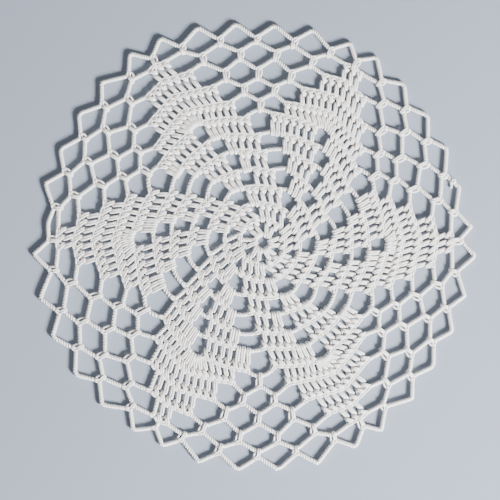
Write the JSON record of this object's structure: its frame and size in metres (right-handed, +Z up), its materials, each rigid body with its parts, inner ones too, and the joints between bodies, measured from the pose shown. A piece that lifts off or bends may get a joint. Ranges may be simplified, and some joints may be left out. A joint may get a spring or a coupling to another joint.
{
  "type": "lace doily",
  "caption": "Round flat crocheted cotton doily with curved solid arms turning like a pinwheel, a net of chain loops between them and a zigzag edge.",
  "frame": {"origin": "middle of the bounding box's underside, which lies on the surface; the crocheted centre is 3.6 mm towards +X and 1.7 mm towards +Y of it", "axes": "+Z up out of the lace, +Y away from a viewer who sees the doily as it is usually shown, +X to that viewer's right"},
  "size_m": [0.1714, 0.1732, 0.0016],
  "materials": {
    "cotton_thread": "matt white crochet cotton with a fine twist"
  },
  "bodies": {
    "root": {"doily": "cotton_thread"}
  },
  "joints": []
}
